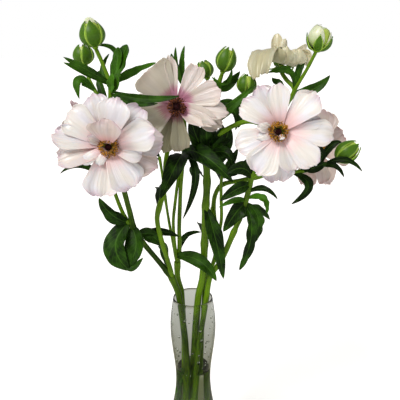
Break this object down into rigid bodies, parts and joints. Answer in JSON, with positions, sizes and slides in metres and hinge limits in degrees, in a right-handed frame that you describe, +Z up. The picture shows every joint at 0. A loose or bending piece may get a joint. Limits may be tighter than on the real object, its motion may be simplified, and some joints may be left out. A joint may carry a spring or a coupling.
{
  "type": "ranunculus in vase",
  "caption": "Cut butterfly ranunculus stems with open blooms, closed buds and leaves, standing in water in a slim waisted clear glass vase.",
  "frame": {"origin": "middle of the vase's flat base, on the surface that it stands on", "axes": "+Z up along the vase's axis, -Y towards the viewer whom the blooms face, +X to that viewer's right"},
  "size_m": [0.2387, 0.124, 0.4297],
  "materials": {
    "vase_glass": "clear thin soda glass, faintly grey-green, polished",
    "water": "clear water, slightly green from the stems",
    "stem_and_leaf": "satin living green, darker on the leaves",
    "green_bud": "satin fresh green with lime slits between the sepals",
    "opening_bud": "silky pale green-white",
    "petals_white_pink": "silky warm white, pink at the base and the edge",
    "petals_mauve_pink": "silky pale mauve-pink, deeper at the base",
    "petals_cream": "silky cream white",
    "stamens": "dusty golden brown round a dark maroon middle"
  },
  "bodies": {
    "root": {"vase": "vase_glass", "water": "water", "stem_left": "stem_and_leaf", "stem_mid": "stem_and_leaf", "stem_centre": "stem_and_leaf", "stem_thin": "stem_and_leaf", "stem_right": "stem_and_leaf", "bloom_left_petals": "petals_white_pink", "bloom_left_centre": "stamens", "bloom_mid_petals": "petals_mauve_pink", "bloom_mid_centre": "stamens", "bloom_right_petals": "petals_white_pink", "bloom_right_centre": "stamens", "bloom_white_petals": "petals_cream", "bloom_white_centre": "stamens", "bloom_back_petals": "petals_mauve_pink", "bloom_back_centre": "stamens", "bud_top_left": "green_bud", "bud_left": "green_bud", "bud_centre": "green_bud", "bud_small": "green_bud", "bud_inner": "green_bud", "bud_right": "green_bud", "bud_opening": "opening_bud"}
  },
  "joints": []
}
